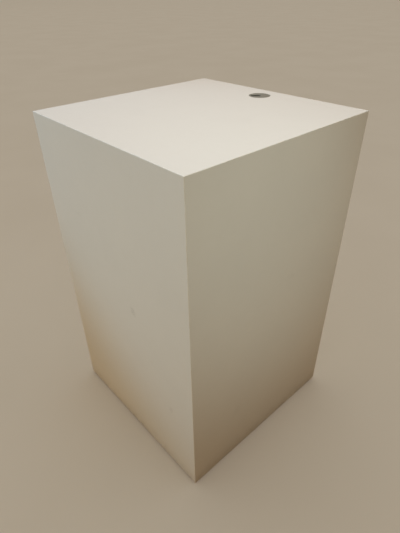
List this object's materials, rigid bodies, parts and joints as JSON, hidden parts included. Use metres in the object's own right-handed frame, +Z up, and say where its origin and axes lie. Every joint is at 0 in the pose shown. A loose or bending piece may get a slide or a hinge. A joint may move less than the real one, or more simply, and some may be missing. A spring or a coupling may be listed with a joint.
{
  "type": "display plinth",
  "caption": "Square white box plinth for showing an object, hollow underneath, with a turning cable grommet let into its top and a cable arch at the foot of its back.",
  "frame": {"origin": "centre of the base, on the floor", "axes": "+Z up; -Y is the front; +Y is the back, where the grommet and the cable arch are; +X is the viewer's right"},
  "size_m": [0.61, 0.61, 1],
  "materials": {
    "paint": "MDF with matt white paint",
    "softwood": "planed, bare",
    "grommet": "fine moulded texture",
    "glide": "smooth",
    "screw": "yellow zinc"
  },
  "bodies": {
    "plinth": {"back_panel": "paint", "base_rail_back": "softwood", "base_rail_front": "softwood", "base_rail_left": "softwood", "base_rail_right": "softwood", "corner_post_back_left": "softwood", "corner_post_back_right": "softwood", "corner_post_front_left": "softwood", "corner_post_front_right": "softwood", "front_panel": "paint", "glide_back_left": "glide", "glide_back_right": "glide", "glide_front_left": "glide", "glide_front_right": "glide", "grommet_sleeve": "grommet", "left_panel": "paint", "right_panel": "paint", "screw_batten_back_left": "screw", "screw_batten_back_right": "screw", "screw_batten_front_1": "screw", "screw_batten_front_2": "screw", "screw_batten_left_1": "screw", "screw_batten_left_2": "screw", "screw_batten_right_1": "screw", "screw_batten_right_2": "screw", "screw_glide_back_left": "screw", "screw_glide_back_right": "screw", "screw_glide_front_left": "screw", "screw_glide_front_right": "screw", "screw_post_back_left_back_high": "screw", "screw_post_back_left_back_low": "screw", "screw_post_back_left_left_high": "screw", "screw_post_back_left_left_low": "screw", "screw_post_back_right_back_high": "screw", "screw_post_back_right_back_low": "screw", "screw_post_back_right_right_high": "screw", "screw_post_back_right_right_low": "screw", "screw_post_front_left_front_high": "screw", "screw_post_front_left_front_low": "screw", "screw_post_front_left_left_high": "screw", "screw_post_front_left_left_low": "screw", "screw_post_front_right_front_high": "screw", "screw_post_front_right_front_low": "screw", "screw_post_front_right_right_high": "screw", "screw_post_front_right_right_low": "screw", "screw_rail_back_left": "screw", "screw_rail_back_right": "screw", "screw_rail_front": "screw", "screw_rail_left": "screw", "screw_rail_right": "screw", "top_batten_back_left": "softwood", "top_batten_back_right": "softwood", "top_batten_front": "softwood", "top_batten_left": "softwood", "top_batten_right": "softwood", "top_panel": "paint"},
    "insert": {"grommet_insert": "grommet"},
    "cap": {"grommet_cap": "grommet"}
  },
  "joints": [
    {"name": "insert_lift", "type": "slide", "parent": "plinth", "child": "insert", "axis": [0, 0, 1], "range_m": [0, 0.035]},
    {"name": "cap_turn", "type": "hinge", "parent": "insert", "child": "cap", "pos_m": [0, 0.24, 0.998], "axis": [0, 0, 1], "continuous": true}
  ]
}
